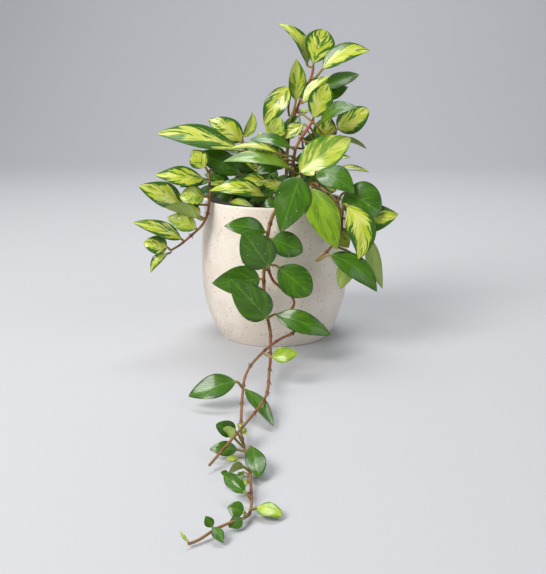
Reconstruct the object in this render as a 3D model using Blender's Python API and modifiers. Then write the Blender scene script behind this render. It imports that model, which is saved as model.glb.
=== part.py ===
"""Potted hoya plant: a stoneware pot, its potting mix, seven stems and their leaves.

The origin is the centre of the pot's foot, +Z is up, and the two vines trail towards -Y.
Blender works in metres; the design values below are in millimetres.
"""

import bpy
import bmesh
import math
from collections import namedtuple
from mathutils import Vector

MM = 0.001
GAP = 0.3                   # clear space kept between neighbouring pieces

# Pot
POT_HEIGHT = 141.0
POT_BELLY_RADIUS = 75.0     # the widest place
POT_BELLY_HEIGHT = 78.0
POT_FOOT_RADIUS = 57.0
POT_RIM_RADIUS = 71.0
POT_WALL = 3.6
POT_FLOOR = 6.0
POT_FOOT_ROUNDING = 2.0
POT_STEPS = 40              # facets around the pot and the mix

# Potting mix
MIX_EDGE_HEIGHT = 127.0
MIX_MOUND = 2.5             # how much the middle stands above the edge
PLANTING_DEPTH = 118.0      # height of the planted stems' lower ends
PLANTING_TOP = 131.0        # they are straight and upright as far as this

# Stems
STEM_SIDES = 8
STEM_POINT_SPACING = 9.0

# Leaves
LEAF_THICKNESS = 1.3
LEAF_SIDES = 8
PETIOLE_RADIUS = 1.1
TIP_RADIUS = 0.45
PETIOLE_STATIONS = (0.0, 0.35, 0.7)
BLADE_STATIONS = (0.0, 0.06, 0.18, 0.34, 0.52, 0.7, 0.86, 1.0)

# A stem's route is its centre line from just above the mix; planted_route adds the rest.
# `grows_from` names the stem that carries it, or is None for a planted stem.
Stem = namedtuple("Stem", "grows_from start_radius end_radius route")

STEMS = {
    "upright_stem": Stem(None, 2.2, 1.5, [
        (14, 6, 135), (12, 6, 160), (13, 6, 188), (16, 5, 210),
        (21, 4, 226), (26, 2, 238), (31, 0, 249), (36, 0, 260), (38, 0, 269)]),
    "leaning_stem": Stem(None, 2.2, 1.6, [
        (20, -22, 135), (18, -22, 167), (20, -20, 189), (26, -16, 202),
        (34, -12, 213), (38, -10, 219)]),
    "crown_stem": Stem(None, 2.0, 1.4, [
        (-14, 2, 135), (-15, 0, 157), (-19, -5, 171), (-24, -9, 183),
        (-29, -11, 192), (-33, -11, 198)]),
    "left_stem": Stem(None, 2.0, 1.3, [
        (-38, -12, 135), (-43, -16, 151), (-53, -24, 165), (-60, -30, 172),
        (-64, -34, 170), (-63, -38, 162), (-62, -41, 153), (-63, -44, 144), (-65, -46, 131),
        (-71, -48, 120), (-82, -50, 110), (-92, -52, 102), (-101, -54, 97)]),
    "right_stem": Stem(None, 2.2, 1.3, [
        (30, -14, 135), (31, -22, 152), (38, -30, 159), (46, -38, 155),
        (54, -45, 149), (59, -52, 144), (63, -60, 135), (63, -68, 123), (57, -74, 110),
        (48, -78, 100), (39, -81, 93)]),
    "front_vine": Stem(None, 2.2, 1.1, [
        (10, -40, 135), (11, -46, 148), (9, -57, 153), (6, -67, 150),
        (2, -76, 142), (-3, -83, 133), (-6, -87, 121), (-8, -90, 108), (-9, -92, 95),
        (-10, -93, 84), (-10, -94, 67), (-9, -96, 54), (-7, -99, 44), (-4, -106, 30),
        (-4, -125, 24), (-4, -145, 17), (-5, -172, 13), (-6, -209, 13), (-10, -247, 17),
        (-20, -284, 18), (-32, -312, 14), (-45, -330, 5)]),
    "trailing_vine": Stem("front_vine", 1.6, 1.0, [
        (-6, -96, 88), (-1, -97, 77), (9, -96, 68), (16, -96, 62), (18, -96, 55),
        (14, -95, 46), (15, -96, 38), (21, -101, 33), (16, -111, 31), (6, -123, 30),
        (-4, -148, 31), (-14, -168, 28), (-21, -183, 24), (-25, -198, 19),
        (-26, -220, 14), (-26, -248, 9), (-25, -277, 6), (-22, -301, 5), (-18, -328, 6),
        (-16, -356, 5), (-15, -384, 4), (-17, -398, 5), (-24, -405, 6), (-35, -413, 5),
        (-44, -421, 3), (-50, -425, 2.5)]),
}

# One leaf: where the blade starts, its tip, its full width and the way its upper side faces.
# arch and bend bow the midrib towards the upper side and across, as parts of the length;
# fold lifts the margins; widest is where along the blade it is widest; blunt rounds the ends;
# joint is a place beside the stem where the petiole leaves it, if that isn't the nearest one.
Leaf = namedtuple(
    "Leaf", "base tip width face arch fold bend widest blunt joint finish",
    defaults=(0.10, 0.15, 0.0, 0.42, 0.85, None, "variegated"))

LEAVES = {
    "upright_stem": [
        Leaf((32, 6, 272), (3, 7, 310), 23, (6, -6, 5), 0.18, 0.30),
        Leaf((38, -6, 273), (48, 2, 305), 30, (0, -10, 2), -0.05, 0.12, widest=0.58, blunt=0.6),
        Leaf((47, -11, 268), (91, -17, 284), 22, (-2, -8, 5), 0.10, bend=-0.10, joint=(35, 0, 259)),
        Leaf((21, -2, 238), (21, -4, 277), 19, (3, -9, 0), 0.04, 0.35, joint=(17, 5, 215)),
        Leaf((51, 12, 250), (85, 20, 262), 19, (-2, -7, 5), 0.08, finish="green"),
        Leaf((28, -9, 236), (53, -8, 261), 18, (-5, -8, 4), 0.05, 0.20),
        Leaf((15, 9, 250), (-10, 8, 212), 24, (-3, -9, 2), 0.12, 0.20, joint=(18, 5, 219)),
    ],
    "leaning_stem": [
        Leaf((38, -18, 222), (51, -23, 254), 24, (0, -10, 2), 0.03, 0.25, widest=0.5, blunt=0.7),
        Leaf((44, -28, 217), (80, -37, 231), 24, (0, -5, 8), 0.20, 0.10, finish="green"),
        Leaf((63, -4, 210), (93, 0, 229), 26, (-1, -10, 2), -0.08, 0.10, blunt=0.55,
             joint=(24, -14, 200)),
        Leaf((48, 6, 196), (54, 4, 222), 24, (0, -10, 2), 0.03, blunt=0.65),
        Leaf((25, -32, 170), (74, -22, 202), 34, (-3, -9, 3), 0.10, 0.20, blunt=0.7,
             finish="pale"),
        Leaf((15, -26, 194), (-24, -30, 201), 20, (0, -5, 8), 0.12, 0.10, finish="green"),
        Leaf((1, -43, 190), (-42, -49, 194), 16, (0, -4, 9), 0.12, 0.10),
        Leaf((14, -46, 176), (-48, -70, 184), 22, (0, -5, 8), 0.12, 0.10, finish="green"),
    ],
    "crown_stem": [
        Leaf((-3, -6, 200), (6, -6, 222), 20, (1, -10, 2), 0.05, 0.20, finish="pale"),
        Leaf((-33, -18, 189), (-113, -34, 207), 27, (1, -7, 6), 0.11, widest=0.52),
        Leaf((-32, -1, 198), (-66, 3, 219), 25, (-2, -8, 5), 0.12, 0.12),
        Leaf((-31, -13, 203), (-22, -13, 227), 11, (3, -9, 0), 0.04, 0.50, 0.12, finish="pale"),
    ],
    "left_stem": [
        Leaf((-35, -20, 168), (-78, -22, 188), 25, (3, -8, 4), 0.10, finish="green"),
        Leaf((-67, -38, 176), (-79, -36, 192), 20, (-2, -9, 2), 0.06, 0.20),
        Leaf((-69, -42, 165), (-114, -52, 170), 22, (0, -8, 6), 0.16, 0.12, -0.08),
        Leaf((-89, -50, 143), (-128, -64, 161), 24, (0, -9, 4), 0.10),
        Leaf((-69, -48, 149), (-90, -58, 149), 19, (0, -9, 4), 0.20, blunt=0.6, finish="pale"),
        Leaf((-74, -62, 131), (-102, -74, 142), 17, (1, 8, 6), 0.12, finish="pale"),
        Leaf((-90, -56, 109), (-134, -68, 127), 17, (0, -8, 6), 0.12),
        Leaf((-104, -57, 101), (-125, -62, 106), 18, (0, -9, 3), 0.15, 0.20, blunt=0.6),
        Leaf((-104, -55, 94), (-120, -58, 76), 13, (-5, -6, 4), 0.15, 0.30),
    ],
    "right_stem": [
        Leaf((34, -70, 158), (57, -98, 107), 30, (1, -9, 2), 0.08, 0.10, finish="green"),
        Leaf((41, -52, 173), (74, -74, 155), 30, (1, -7, 7), 0.12, 0.12, finish="green"),
        Leaf((67, -56, 153), (99, -70, 136), 38, (2, -9, 4), 0.12, blunt=0.6, finish="green"),
        Leaf((74, -58, 127), (117, -64, 134), 27, (0, -10, 2), 0.08, 0.12),
        Leaf((67, -84, 145), (77, -94, 97), 28, (1, -9, 2), 0.08, 0.12, -0.15),
        Leaf((52, -90, 100), (95, -94, 66), 22, (1, -9, 4), 0.10, 0.12, -0.08, finish="green",
             joint=(39, -82, 93)),
        Leaf((90, -66, 111), (104, -66, 62), 15, (-3, 8, 4), 0.08, 0.20, finish="pale"),
        Leaf((73, -76, 94), (62, -80, 65), 18, (0, 9, 3), 0.08, finish="pale"),
    ],
    "front_vine": [
        Leaf((-10, -50, 149), (-62, -56, 155), 19, (0, -8, 6), 0.25, 0.10, joint=(9, -41, 134)),
        Leaf((23, -64, 169), (5, -98, 123), 33, (1, -9, 3), 0.08, 0.12, finish="green"),
        Leaf((-9, -91, 122), (-46, -100, 129), 20, (-1, -8, 5), 0.15, 0.12, finish="green"),
        Leaf((-6, -109, 94), (-28, -116, 127), 33, (0, -10, 2), 0.05, 0.08, widest=0.40,
             blunt=0.65, finish="green"),
        Leaf((-2, -89, 115), (26, -88, 103), 24, (0, -9, 3), 0.10, 0.10, blunt=0.6,
             finish="green"),
        Leaf((-14, -93, 78), (-58, -97, 75), 28, (-1, -9, 2), 0.08, 0.10, widest=0.36,
             finish="green"),
        Leaf((4, -102, 91), (33, -107, 67), 30, (1, -10, 2), 0.05, 0.06, widest=0.5,
             blunt=0.6, finish="green"),
        Leaf((-7, -112, 47), (-39, -119, 84), 31, (0, -10, 2), 0.05, 0.08, widest=0.36,
             blunt=0.65, finish="green"),
        Leaf((2, -104, 47), (52, -110, 29), 21, (-1, -8, 5), 0.12, 0.12, finish="green"),
    ],
    "trailing_vine": [
        Leaf((-2, -166, 27), (20, -168, 31), 14, (0, -8, 4), 0.10, finish="pale"),
        Leaf((-32, -214, 22), (-70, -215, 10), 21, (0, -7, 7), 0.08, 0.10, finish="green"),
        Leaf((-23, -214, 15), (-1, -262, 4), 14, (3, -6, 6), 0.03, 0.20, finish="green"),
        Leaf((-27, -309, 7), (-46, -311, 8), 11, (0, -7, 6), 0.12, 0.10, finish="green"),
        Leaf((-17, -313, 11), (-11, -347, 5), 14, (1, -6, 8), 0.08, widest=0.6, blunt=0.6,
             finish="green"),
        Leaf((-11, -388, 5), (4, -394, 3), 12, (1, -3, 9), 0.10, 0.05, blunt=0.55, finish="pale"),
    ],
}

COLOURS = {                 # base colour, roughness
    "stoneware": ((0.74, 0.68, 0.60, 1.0), 0.55),
    "potting_mix": ((0.025, 0.02, 0.016, 1.0), 0.95),
    "stem": ((0.30, 0.12, 0.06, 1.0), 0.5),
    "leaf_green": ((0.06, 0.22, 0.02, 1.0), 0.35),
    "leaf_variegated": ((0.55, 0.62, 0.14, 1.0), 0.35),
    "leaf_pale": ((0.52, 0.60, 0.24, 1.0), 0.45),
}


def clear_scene():
    for old in list(bpy.data.objects):
        bpy.data.objects.remove(old, do_unlink=True)


def new_collection(name):
    collection = bpy.data.collections.new(name)
    bpy.context.scene.collection.children.link(collection)
    return collection


def make_materials():
    materials = {}
    for name, (colour, roughness) in COLOURS.items():
        material = bpy.data.materials.new(name)
        material.use_nodes = True
        shader = material.node_tree.nodes["Principled BSDF"]
        shader.inputs["Base Color"].default_value = colour
        shader.inputs["Roughness"].default_value = roughness
        shader.inputs["Metallic"].default_value = 0.0
        material.diffuse_color = colour
        materials[name] = material
    return materials


def add_object(name, data, collection, material):
    obj = bpy.data.objects.new(name, data)
    collection.objects.link(obj)
    obj.data.materials.append(material)
    return obj


def add_turned(name, profile, collection, material):
    """A solid of revolution: (radius, height) points from the axis round to the axis."""
    mesh = bpy.data.meshes.new(name)
    points = [(radius * MM, 0.0, height * MM) for radius, height in profile]
    edges = [(i, i + 1) for i in range(len(points) - 1)]
    mesh.from_pydata(points, edges, [])
    obj = add_object(name, mesh, collection, material)
    screw = obj.modifiers.new("Turn", "SCREW")
    screw.axis = "Z"
    screw.angle = math.tau
    screw.steps = POT_STEPS
    screw.render_steps = POT_STEPS
    screw.use_merge_vertices = True
    screw.merge_threshold = 0.00001
    screw.use_normal_calculate = False
    return obj


def pot_radius(height):
    """Outer radius: the wall curves in below the belly and draws in gently above it."""
    if height < POT_BELLY_HEIGHT:
        below = (POT_BELLY_HEIGHT - height) / POT_BELLY_HEIGHT
        return POT_BELLY_RADIUS - (POT_BELLY_RADIUS - POT_FOOT_RADIUS) * below ** 2.6
    above = (height - POT_BELLY_HEIGHT) / (POT_HEIGHT - POT_BELLY_HEIGHT)
    return POT_BELLY_RADIUS - (POT_BELLY_RADIUS - POT_RIM_RADIUS) * above ** 2


def add_pot(collection, material):
    """Inner floor, inner wall, rounded lip, outer wall and rounded foot, as one profile."""
    lip = POT_WALL / 2
    lip_base = POT_HEIGHT - lip
    inner = [(pot_radius(z) - POT_WALL, z) for z in (10, 22, 40, 60, 80, 100, 120, lip_base)]
    lip_centre = pot_radius(lip_base) - lip
    rounding = []
    for degrees in (135, 90, 45):
        angle = math.radians(degrees)
        rounding.append((lip_centre + lip * math.cos(angle), lip_base + lip * math.sin(angle)))
    outer = [(pot_radius(z), z) for z in (lip_base, 120, 100, 80, 60, 44, 30, 18, 8)]
    foot = [(POT_FOOT_RADIUS + 0.8, POT_FOOT_ROUNDING), (POT_FOOT_RADIUS - 1.2, 0.0)]
    inner_floor = [(0.0, POT_FLOOR), (pot_radius(POT_FLOOR) - POT_WALL - 5, POT_FLOOR)]
    profile = inner_floor + inner + rounding + outer + foot + [(0.0, 0.0)]
    return add_turned("pot", profile, collection, material)


def add_mix(collection, cutters, material):
    """The mix follows the inside of the pot, with a socket for each planted stem."""
    top = MIX_EDGE_HEIGHT + MIX_MOUND
    inset = POT_WALL + GAP
    side = [(pot_radius(z) - inset, z) for z in (MIX_EDGE_HEIGHT, 120, 100, 80, 60, 40, 22)]
    bottom = POT_FLOOR + GAP
    middle = [(pot_radius(MIX_EDGE_HEIGHT) * 0.55, MIX_EDGE_HEIGHT + MIX_MOUND * 0.6)]
    lowest = [(pot_radius(10) - inset - 1, 11.0), (pot_radius(10) - inset - 8, bottom)]
    profile = [(0.0, top)] + middle + side + lowest + [(0.0, bottom)]
    mix = add_turned("potting_mix", profile, collection, material)
    for name, stem in STEMS.items():
        if stem.grows_from is None:
            socket = mix.modifiers.new("Socket " + name, "BOOLEAN")
            socket.operation = "DIFFERENCE"
            socket.solver = "EXACT"
            socket.object = add_socket_cutter(name, stem, cutters)
    return mix


def add_socket_cutter(name, stem, cutters):
    """A 12-sided plug that clears the planted stem all round and below it."""
    clear_radius = (stem.start_radius + GAP) / math.cos(math.pi / 12)
    x, y, _ = stem.route[0]
    bottom = PLANTING_DEPTH - GAP
    height = MIX_EDGE_HEIGHT + MIX_MOUND + 5 - bottom
    mesh = bpy.data.meshes.new("cutter_" + name)
    plug = bmesh.new()
    bmesh.ops.create_cone(plug, cap_ends=True, segments=12, radius1=clear_radius * MM,
                          radius2=clear_radius * MM, depth=height * MM)
    plug.to_mesh(mesh)
    plug.free()
    cutter = bpy.data.objects.new("cutter_" + name, mesh)
    cutter.location = Vector((x, y, bottom + height / 2)) * MM
    cutter.hide_render = True
    cutter.display_type = "WIRE"
    cutters.objects.link(cutter)
    return cutter


def smooth_route(points):
    """Catmull-Rom curve through the route's points, read off every few millimetres."""
    points = [Vector(p) for p in points]
    padded = [points[0] * 2 - points[1]] + points + [points[-1] * 2 - points[-2]]
    curve = [points[0]]
    for a, b, c, d in zip(padded, padded[1:], padded[2:], padded[3:]):
        pieces = max(1, round((c - b).length / STEM_POINT_SPACING))
        for i in range(1, pieces + 1):
            t = i / pieces
            curve.append(0.5 * (2 * b + (c - a) * t + (2 * a - 5 * b + 4 * c - d) * t ** 2
                                + (3 * b - a - 3 * c + d) * t ** 3))
    return curve


def planted_route(stem):
    """A planted stem starts with a straight upright length inside its socket."""
    if stem.grows_from is not None:
        return stem.route
    x, y, _ = stem.route[0]
    return [(x, y, PLANTING_DEPTH), (x, y, PLANTING_TOP)] + stem.route


def stem_line(name):
    """A stem's smoothed centre line with its radius at each point."""
    stem = STEMS[name]
    route = smooth_route(planted_route(stem))
    if stem.grows_from is not None:
        root, outward = surface_root(stem.grows_from, route[0], route[1])
        route[0:1] = [root, root + outward * 2 * stem.start_radius]
    last = len(route) - 1
    taper = stem.end_radius - stem.start_radius
    radii = [stem.start_radius + taper * i / last for i in range(last + 1)]
    return route, radii


def nearest_on_line(route, radii, place):
    """Nearest point of the centre line, with its direction and radius."""
    best = None
    for i in range(len(route) - 1):
        step = route[i + 1] - route[i]
        t = max(0.0, min(1.0, (place - route[i]).dot(step) / step.length_squared))
        point = route[i] + step * t
        distance = (place - point).length
        if best is None or distance < best[0]:
            best = (distance, point, step.normalized(), radii[i] + (radii[i + 1] - radii[i]) * t)
    return best[1:]


def surface_root(stem_name, place, target):
    """Where a petiole or side shoot leaves the stem's surface, and its first direction."""
    route, radii = stem_line(stem_name)
    point, along, radius = nearest_on_line(route, radii, Vector(place))
    outward = Vector(target) - point
    outward -= along * outward.dot(along)
    outward.normalize()
    return point + outward * (radius + GAP), outward


def add_stem(name, collection, material):
    route, radii = stem_line(name)
    curve = bpy.data.curves.new(name, "CURVE")
    curve.dimensions = "3D"
    curve.bevel_depth = MM
    curve.bevel_resolution = (STEM_SIDES - 4) // 2
    curve.use_fill_caps = True
    spline = curve.splines.new("POLY")
    spline.points.add(len(route) - 1)
    for point, place, radius in zip(spline.points, route, radii):
        point.co = (*(place * MM), 1.0)
        point.radius = radius
    return add_object(name, curve, collection, material)


def blade_half_width(leaf, t):
    """Rises from the petiole to the widest place and narrows to the tip."""
    power = math.log(0.5) / math.log(leaf.widest)
    return leaf.width / 2 * max(0.0, math.sin(math.pi * t ** power)) ** leaf.blunt


def leaf_rings(leaf, stem_name):
    """Cross-sections from the petiole's root to the blade's tip.

    Each ring is (centre, across, up, half width, half thickness, fold).
    """
    base = Vector(leaf.base)
    tip = Vector(leaf.tip)
    chord = tip - base
    length = chord.length
    axis = chord.normalized()
    up = Vector(leaf.face)
    up = (up - axis * up.dot(axis)).normalized()
    across = axis.cross(up)
    bow = (up * leaf.arch + across * leaf.bend) * length * 4
    root, outward = surface_root(stem_name, leaf.joint or leaf.base, leaf.base)
    start_direction = (chord + bow).normalized()
    reach = (base - root).length * 0.4
    handle_a = root + outward * reach
    handle_b = base - start_direction * reach
    rings = []
    for t in PETIOLE_STATIONS:
        s = 1 - t
        centre = (root * s ** 3 + handle_a * 3 * s * s * t + handle_b * 3 * s * t * t
                  + base * t ** 3)
        direction = ((handle_a - root) * s * s + (handle_b - handle_a) * 2 * s * t
                     + (base - handle_b) * t * t)
        rings.append((centre, direction, PETIOLE_RADIUS, PETIOLE_RADIUS, 0.0))
    for t in BLADE_STATIONS:
        centre = base + chord * t + bow * t * (1 - t)
        direction = chord + bow * (1 - 2 * t)
        slim = min(1.0, t / BLADE_STATIONS[1])
        half_thickness = PETIOLE_RADIUS + (LEAF_THICKNESS / 2 - PETIOLE_RADIUS) * slim
        half_width = max(blade_half_width(leaf, t), TIP_RADIUS if t > 0.5 else PETIOLE_RADIUS)
        if t == BLADE_STATIONS[-1]:
            half_thickness = TIP_RADIUS
        rings.append((centre, direction, half_width, half_thickness, leaf.fold * slim))
    return rings, up


def add_leaf(name, leaf, stem_name, collection, material):
    """A loft from the round petiole through the flat, folded blade to the tip."""
    rings, up = leaf_rings(leaf, stem_name)
    solid = bmesh.new()
    loops = []
    for centre, direction, half_width, half_thickness, fold in rings:
        direction = direction.normalized()
        ring_up = (up - direction * up.dot(direction)).normalized()
        ring_across = direction.cross(ring_up)
        loop = []
        for i in range(LEAF_SIDES):
            angle = math.tau * i / LEAF_SIDES
            sideways = half_width * math.cos(angle)
            lift = half_thickness * math.sin(angle) + fold * abs(sideways)
            place = centre + ring_across * sideways + ring_up * lift
            loop.append(solid.verts.new(place * MM))
        loops.append(loop)
    for lower, upper in zip(loops, loops[1:]):
        for i in range(LEAF_SIDES):
            j = (i + 1) % LEAF_SIDES
            solid.faces.new((lower[i], upper[i], upper[j], lower[j]))
    solid.faces.new(loops[0])
    solid.faces.new(loops[-1][::-1])
    bmesh.ops.triangulate(solid, faces=solid.faces[:])
    bmesh.ops.recalc_face_normals(solid, faces=solid.faces[:])
    mesh = bpy.data.meshes.new(name)
    solid.to_mesh(mesh)
    solid.free()
    mesh.shade_smooth()
    return add_object(name, mesh, collection, material)


def build():
    clear_scene()
    plant = new_collection("potted_hoya")
    cutters = new_collection("cutters")
    materials = make_materials()
    add_pot(plant, materials["stoneware"])
    add_mix(plant, cutters, materials["potting_mix"])
    for stem_name in STEMS:
        add_stem(stem_name, plant, materials["stem"])
        prefix = stem_name.rsplit("_", 1)[0]
        for number, leaf in enumerate(LEAVES[stem_name], 1):
            name = f"{prefix}_leaf_{number}"
            add_leaf(name, leaf, stem_name, plant, materials["leaf_" + leaf.finish])


build()
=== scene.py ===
"""Potted hoya plant: the finished look of the pot, the mix, the stems and every leaf.

Run as a script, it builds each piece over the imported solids, lights it and sets the camera.
Places in the tables are millimetres in the solids' own frame; Blender works in metres.
"""

import math
from collections import namedtuple
from functools import partial

import bpy
import numpy as np
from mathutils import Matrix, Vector


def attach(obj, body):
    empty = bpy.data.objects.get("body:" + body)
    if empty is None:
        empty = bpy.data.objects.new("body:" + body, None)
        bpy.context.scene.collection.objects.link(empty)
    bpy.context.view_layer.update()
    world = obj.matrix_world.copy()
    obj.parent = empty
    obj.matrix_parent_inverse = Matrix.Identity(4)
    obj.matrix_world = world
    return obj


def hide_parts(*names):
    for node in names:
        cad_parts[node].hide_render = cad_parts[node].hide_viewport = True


bl_info = {
    "name": "Potted hoya plant",
    "version": (1, 0, 0),
    "blender": (4, 5, 0),
    "location": "3D View > Sidebar > Hoya",
    "description": "Builds a variegated hoya in a speckled stoneware pot",
    "category": "Add Mesh",
}

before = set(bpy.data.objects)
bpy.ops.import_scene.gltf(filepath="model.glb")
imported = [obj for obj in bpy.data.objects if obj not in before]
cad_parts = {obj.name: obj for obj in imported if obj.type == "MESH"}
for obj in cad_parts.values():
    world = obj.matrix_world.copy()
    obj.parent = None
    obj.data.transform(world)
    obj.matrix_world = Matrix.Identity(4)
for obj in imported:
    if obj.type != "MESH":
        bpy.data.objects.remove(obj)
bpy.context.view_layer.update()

MM = 0.001
GAP = 0.3
BODY = "root"

# The pot's driving sizes
POT_HEIGHT = 141.0
POT_BELLY_RADIUS = 75.0
POT_BELLY_HEIGHT = 78.0
POT_FOOT_RADIUS = 57.0
POT_RIM_RADIUS = 71.0
POT_WALL = 3.6
POT_FLOOR = 6.0
POT_FOOT_ROUNDING = 2.0
MIX_EDGE_HEIGHT = 127.0
MIX_MOUND = 2.5
PLANTING_DEPTH = 118.0
PLANTING_TOP = 131.0

PETIOLE_RADIUS = 1.1
PETIOLE_ROWS = 8
SHOULDER = 0.06            # part of a blade over which it spreads from its petiole
TIP_TAPER = 0.12           # part of a blade over which it thins to the tip
STEM_SLIMNESS = 0.84       # a smooth length's radius, as a part of the solid's
ROOT_DEPTH = 0.75          # where in a stem's radius a petiole starts
NODE_REACH = 1.7           # how far a node's swelling spreads along the stem
NUB_RADIUS = 0.55
NUBS_AT_NODE = 2
LOW_STEM = 5.0             # below this height a nub turns upwards, off the surface

# A stem's route is its centre line from just above the mix; planted_route adds the rest.
Stem = namedtuple("Stem", "grows_from start_radius end_radius route")

STEMS = {
    "upright_stem": Stem(None, 2.2, 1.5, [
        (14, 6, 135), (12, 6, 160), (13, 6, 188), (16, 5, 210),
        (21, 4, 226), (26, 2, 238), (31, 0, 249), (36, 0, 260), (38, 0, 269)]),
    "leaning_stem": Stem(None, 2.2, 1.6, [
        (20, -22, 135), (18, -22, 167), (20, -20, 189), (26, -16, 202),
        (34, -12, 213), (38, -10, 219)]),
    "crown_stem": Stem(None, 2.0, 1.4, [
        (-14, 2, 135), (-15, 0, 157), (-19, -5, 171), (-24, -9, 183),
        (-29, -11, 192), (-33, -11, 198)]),
    "left_stem": Stem(None, 2.0, 1.3, [
        (-38, -12, 135), (-43, -16, 151), (-53, -24, 165), (-60, -30, 172),
        (-64, -34, 170), (-63, -38, 162), (-62, -41, 153), (-63, -44, 144), (-65, -46, 131),
        (-71, -48, 120), (-82, -50, 110), (-92, -52, 102), (-101, -54, 97)]),
    "right_stem": Stem(None, 2.2, 1.3, [
        (30, -14, 135), (31, -22, 152), (38, -30, 159), (46, -38, 155),
        (54, -45, 149), (59, -52, 144), (63, -60, 135), (63, -68, 123), (57, -74, 110),
        (48, -78, 100), (39, -81, 93)]),
    "front_vine": Stem(None, 2.2, 1.1, [
        (10, -40, 135), (11, -46, 148), (9, -57, 153), (6, -67, 150),
        (2, -76, 142), (-3, -83, 133), (-6, -87, 121), (-8, -90, 108), (-9, -92, 95),
        (-10, -93, 84), (-10, -94, 67), (-9, -96, 54), (-7, -99, 44), (-4, -106, 30),
        (-4, -125, 24), (-4, -145, 17), (-5, -172, 13), (-6, -209, 13), (-10, -247, 17),
        (-20, -284, 18), (-32, -312, 14), (-45, -330, 5)]),
    "trailing_vine": Stem("front_vine", 1.6, 1.0, [
        (-6, -96, 88), (-1, -97, 77), (9, -96, 68), (16, -96, 62), (18, -96, 55),
        (14, -95, 46), (15, -96, 38), (21, -101, 33), (16, -111, 31), (6, -123, 30),
        (-4, -148, 31), (-14, -168, 28), (-21, -183, 24), (-25, -198, 19),
        (-26, -220, 14), (-26, -248, 9), (-25, -277, 6), (-22, -301, 5), (-18, -328, 6),
        (-16, -356, 5), (-15, -384, 4), (-17, -398, 5), (-24, -405, 6), (-35, -413, 5),
        (-44, -421, 3), (-50, -425, 2.5)]),
}

# One leaf: where the blade starts, its tip, its full width and the way its upper side faces.
# arch and bend bow the midrib towards the upper side and across, as parts of the length;
# fold lifts the margins; widest is where along the blade it is widest; blunt rounds the ends;
# joint is a place beside the stem where the petiole leaves it, if that isn't the nearest one.
Leaf = namedtuple(
    "Leaf", "base tip width face arch fold bend widest blunt joint finish",
    defaults=(0.10, 0.15, 0.0, 0.42, 0.85, None, "variegated"))
GreenLeaf = partial(Leaf, finish="green")
PaleLeaf = partial(Leaf, finish="pale")

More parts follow.
